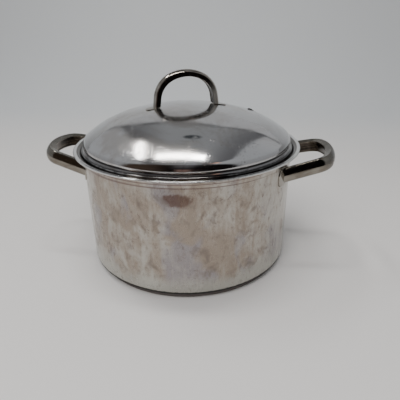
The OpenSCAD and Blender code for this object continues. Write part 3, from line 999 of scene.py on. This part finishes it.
def add_camera(place, turns, lens):
    """A camera that looks along +Y, turned left by yaw, down by pitch and about its view by
    roll, in degrees."""
    yaw, pitch, roll = (math.radians(turn) for turn in turns)
    camera = bpy.data.cameras.new("camera")
    camera.sensor_width = 36.0
    camera.lens = lens
    camera.clip_start = 0.01
    obj = bpy.data.objects.new("camera", camera)
    level = math.cos(pitch)
    ahead = np.array([-math.sin(yaw) * level, math.cos(yaw) * level, -math.sin(pitch)])
    right = np.array([math.cos(yaw), math.sin(yaw), 0.0])
    up = np.cross(right, ahead)
    c, s = math.cos(roll), math.sin(roll)
    axes = np.column_stack([right * c + up * s, up * c - right * s, -ahead])
    obj.matrix_world = Matrix.Translation(place) @ Matrix(axes.tolist()).to_4x4()
    bpy.context.scene.collection.objects.link(obj)
    bpy.context.scene.camera = obj


# ---- Operators ----


class POT_OT_shell(bpy.types.Operator):
    """Builds the pot's shell with its flared rim, and the base disc's cap"""

    bl_idname = "pot.shell"
    bl_label = "Pot and base disc"

    def execute(self, context):
        """The shell's profile is offset by the sheet: bottom, corner, wall, flare and flat lip.
        The cap's is too: bottom, edge and side. Both are turned round the axis."""
        pot, finish = context.scene.pot_sizes, context.scene.pot_finish
        wall = pot.diameter / 2
        flat = wall - pot.corner
        corner = (flat, pot.base + pot.corner)
        lip_start, low = flare_start(pot)
        edge = pot.sheet / 2
        lip = (lip_start + pot.lip - edge, pot.height - edge)

        def flare(d):
            t = np.radians(np.linspace(0, 90, 25))
            r = lip_start - (pot.flare_width + d) * np.cos(t)
            return np.column_stack([r, low + (pot.flare_height + d) * np.sin(t)])

        outer, inner = flare(0.0), flare(pot.sheet)
        profile = chain(
            run((0.0, pot.base), (flat, pot.base), 10),
            arc(corner, pot.corner, -90, 0, 12),
            run((wall, corner[1]), (wall, low), 30),
            outer,
            run(outer[-1], (lip[0], lip[1] - edge), 2),
            arc(lip, edge, -90, 90, 12),
            run((lip[0], lip[1] + edge), inner[-1], 2),
            inner[::-1],
            run((wall - pot.sheet, low), (wall - pot.sheet, corner[1]), 30),
            arc(corner, pot.corner - pot.sheet, 0, -90, 12),
            run((flat, pot.base + pot.sheet), (0.0, pot.base + pot.sheet), 10),
        )
        turns = np.linspace(0, 2 * np.pi, 320, endpoint=False)
        steel = wall_steel(finish, pot)
        turned_piece("shell_with_rim", profile, turns, steel, "pot_shell")
        r = flat - pot.base_inset
        edge_at = (r - pot.cap_edge, pot.cap_edge)
        cap = chain(
            run((0.0, 0.0), (edge_at[0], 0.0), 14),
            arc(edge_at, pot.cap_edge, -90, 0, 10),
            run((r, edge_at[1]), (r, pot.base), 3),
            run((r, pot.base), (r - pot.cap, pot.base), 1),
            run((r - pot.cap, pot.base), (r - pot.cap, edge_at[1]), 3),
            arc(edge_at, pot.cap_edge - pot.cap, 0, -90, 8),
            run((edge_at[0], pot.cap), (0.0, pot.cap), 14),
        )
        turned_piece("base_disc_cap", cap, turns, base_steel(finish), "base_cap")
        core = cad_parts["base_core"]
        core.data.materials.clear()
        core.data.materials.append(core_metal(finish))
        return {"FINISHED"}


class POT_OT_side_handles(bpy.types.Operator):
    """Builds both side handles with their closing strips and weld flanges"""

    bl_idname = "pot.side_handles"
    bl_label = "Side handles"

    def execute(self, context):
        """A handle's plane rises outwards; its arms end on the flanges' outer cylinder, and each
        flange is a rounded plate wrapped round the wall."""
        scene = context.scene
        pot, size = scene.pot_sizes, scene.handle_sizes
        wall = pot.diameter / 2
        fall = wall - math.sqrt(wall * wall - size.half**2)
        arm_turn = math.asin((size.half - size.depth / 2 + fall * math.tan(size.lean)) / wall)
        flange_turn = arm_turn + size.flange_shift
        flange_z = flare_start(pot)[1] - size.flange_drop - size.flange_height / 2
        root_z = flange_z + wall * (1 - math.cos(arm_turn)) * math.tan(size.rise)
        strap = Strap(size.half, size.lean, size.bend, size.grip, size.reach)
        c, s = math.cos(size.rise), math.sin(size.rise)

        def put(p):
            x, y, z = p[..., 0], p[..., 1], p[..., 2]
            return np.stack([wall + x * c - z * s, y, root_z + x * s + z * c], axis=-1)

        def leave(p, d):
            """Distance back along d to the flanges' cylinder."""
            p, d = p[:, :2], np.broadcast_to(d[:, :2], p[:, :2].shape)
            a, b = (d * d).sum(1), (p * d).sum(1)
            k = (p * p).sum(1) - (wall + size.flange) ** 2
            return (-b - np.sqrt(b * b - a * k)) / a

        parts = StrapParts(size, size, scene.pot_finish)
        outline = rounded_rectangle(size.flange_width, size.flange_height, size.flange_corner)
        sides = {"right": (0.0, ("rear", "front")), "left": (math.pi, ("front", "rear"))}
        for side, (turn, ends) in sides.items():
            parts.build(f"{side}_loop", f"{side}_handle", "pot", strap, put, leave, turn)
            for end, way in zip(ends, (1, -1)):

                def wrap(p):
                    """(s, t, h): h out from the wall, s across, t up."""
                    r = wall + p[..., 2]
                    a = np.arcsin(p[..., 0] / r) + way * flange_turn + turn
                    return np.stack([r * np.cos(a), r * np.sin(a), flange_z + p[..., 1]], axis=-1)

                tab_piece(
                    f"{side}_{end}_weld_plate", outline, size.flange, 0.4 * MM, wrap,
                    parts.steel, "pot", f"{side}_{end}_flange",
                )
        return {"FINISHED"}


class POT_OT_lid(bpy.types.Operator):
    """Builds the domed lid with its seat flange, turned-down edge and steam vent"""

    bl_idname = "pot.lid"
    bl_label = "Lid"

    def execute(self, context):
        """The profile is the dome's outer sheet, the turned-down edge and the inner sheet. It is
        turned round the axis on rows and directions that crowd at the vent."""
        scene = context.scene
        pot, lid = scene.pot_sizes, scene.lid_sizes
        shape = LidShape(lid, pot)
        crowd = lid.vent_at + lid.vent / 2 * np.linspace(-1.9, 1.9, 16)
        outer, inner = shape.dome(0.0, crowd), shape.dome(lid.sheet, crowd)
        profile = np.vstack([outer, lid_rim(pot, lid, shape, outer, inner), inner[::-1]])
        spread = 4.0 * (lid.vent / 2) / lid.vent_at
        near = np.linspace(-spread, spread, 49)[:-1]
        directions = np.append(near, np.linspace(spread, 2 * np.pi - spread, 300)[:-1])
        grid = turned(profile, directions)
        quads, a, b = grid_faces(*grid.shape[:2], False, True)
        points, kept, hole = open_vent(grid, quads, a[:, 0], b[:, 0], lid, shape, outer, inner)
        uv = turned_uv(profile, directions, a[kept], b[kept])
        steel = lid_steel(scene.pot_finish, lid, shape)
        piece(
            "dome_with_vent", about_z(points, lid.turn), np.vstack([quads[kept], hole]), uv, [],
            steel, "lid", "lid_shell",
        )
        return {"FINISHED"}


class POT_OT_lid_handle(bpy.types.Operator):
    """Builds the lid's arched handle, its closing strip and its two foot tabs"""

    bl_idname = "pot.lid_handle"
    bl_label = "Lid handle"

    def execute(self, context):
        """The arch is a strap in an upright plane whose legs end on the foot tabs' sphere."""
        scene = context.scene
        lid = scene.lid_sizes
        shape = LidShape(lid, scene.pot_sizes)
        foot_z = shape.crown_z + math.sqrt(shape.crown_r**2 - lid.half**2)
        strap = Strap(lid.half, lid.lean, lid.bend, lid.top, shape.top + lid.arch - foot_z)

        def put(p):
            upright = np.stack([-p[..., 1], -p[..., 2], p[..., 0] + foot_z], axis=-1)
            return about_z(upright, lid.turn)

        def leave(p, d):
            """Distance back along d to the foot tabs' sphere."""
            p = p - [0, 0, shape.crown_z]
            b = (p * d).sum(1)
            k = (p * p).sum(1) - (shape.crown_r + lid.foot) ** 2
            return -b - np.sqrt(b * b - k)

        parts = StrapParts(lid, scene.handle_sizes, scene.pot_finish)
        parts.build("arch", "lid_handle", "lid", strap, put, leave)
        long = lid.depth + lid.foot_out
        outline = rounded_rectangle(long, lid.foot_width, lid.foot_corner)
        for side, turn in (("right", 0.0), ("left", math.pi)):

            def wrap(p):
                """(s, t, h): s out along the arch's plane, t across it, h above the dome."""
                x = p[..., 0] + lid.half + lid.foot_out - long / 2
                r = shape.crown_r + p[..., 2]
                z = shape.crown_z + np.sqrt(r * r - x * x - p[..., 1] ** 2)
                return about_z(np.stack([x, p[..., 1], z], axis=-1), turn + lid.turn)

            tab_piece(
                f"arch_foot_{side}", outline, lid.foot, 0.35 * MM, wrap,
                parts.steel, "lid", f"lid_foot_{side}",
            )
        return {"FINISHED"}


class POT_OT_stage(bpy.types.Operator):
    """Sets up the floor, the backdrop, the soft lights and the camera"""

    bl_idname = "pot.stage"
    bl_label = "Stage"

    def execute(self, context):
        """Floor and backdrop are one sheet: flat, then a quarter circle, then upright. The floor
        in front of it is left out of reflections, so that the steel mirrors the room there."""
        finish = context.scene.pot_finish
        bend, back, front, top = 0.5, 0.75, -0.46, 0.75
        line = chain(
            run((front, 0.0), (back, 0.0), 20),
            arc((back, bend), bend, -90, 0, 24),
            run((back + bend, bend), (back + bend, top), 4),
        )
        card = stage_card(finish)
        card_sheet("floor_and_backdrop", line, card)
        apron = card_sheet("floor_in_front", run((front - 0.9, 0.0), (front, 0.0), 8), card)
        apron.visible_glossy = False
        strip_white, fill_white = (1.0, 0.99, 0.97), (1.0, 0.98, 0.97)
        soft_light(
            "top_strip", (-0.11, -0.01, 1.55), (-0.11, -0.01, 0.0), (0.76, 0.15), 7.0, strip_white
        )
        soft_light(
            "left_strip", (-0.80, 0.29, 1.55), (-0.3, 0.2, 0.0), (0.17, 0.66), 4.0, strip_white,
            shape="ELLIPSE",
        )
        soft_light(
            "front_fill", (-0.1, -0.85, 1.1), (0.0, -0.1, 0.0), (0.9, 0.6), 11.0, fill_white,
            mirrored=False,
        )
        context.scene.world = white_tent()
        add_camera((0.0629, -0.3938, 0.2403), (7.2, 24.84, -0.66), lens=33.65)
        return {"FINISHED"}


class POT_PT_panel(bpy.types.Panel):
    """Lists the pot's parts and finishes in the sidebar"""

    bl_label = "Lidded Steel Pot"
    bl_idname = "POT_PT_panel"
    bl_space_type = "VIEW_3D"
    bl_region_type = "UI"
    bl_category = "Pot"

    def draw(self, context):
        for step in STEPS:
            self.layout.operator(step.bl_idname)
        for group in GROUPS:
            box = self.layout.box()
            holder = getattr(context.scene, group)
            for name in holder.__annotations__:
                box.prop(holder, name)


STEPS = (POT_OT_shell, POT_OT_side_handles, POT_OT_lid, POT_OT_lid_handle, POT_OT_stage)
GROUPS = {
    "pot_sizes": PotSizes,
    "handle_sizes": HandleSizes,
    "lid_sizes": LidSizes,
    "pot_finish": PotFinish,
}


def register():
    for name, group in GROUPS.items():
        bpy.utils.register_class(group)
        setattr(bpy.types.Scene, name, PointerProperty(type=group))
    for kind in (*STEPS, POT_PT_panel):
        bpy.utils.register_class(kind)


def unregister():
    for kind in (POT_PT_panel, *reversed(STEPS)):
        bpy.utils.unregister_class(kind)
    for name, group in GROUPS.items():
        delattr(bpy.types.Scene, name)
        bpy.utils.unregister_class(group)


def main():
    register()
    bpy.ops.pot.shell()
    bpy.ops.pot.side_handles()
    bpy.ops.pot.lid()
    bpy.ops.pot.lid_handle()
    bpy.ops.pot.stage()
    bpy.context.view_layer.update()


if __name__ == "__main__":
    main()
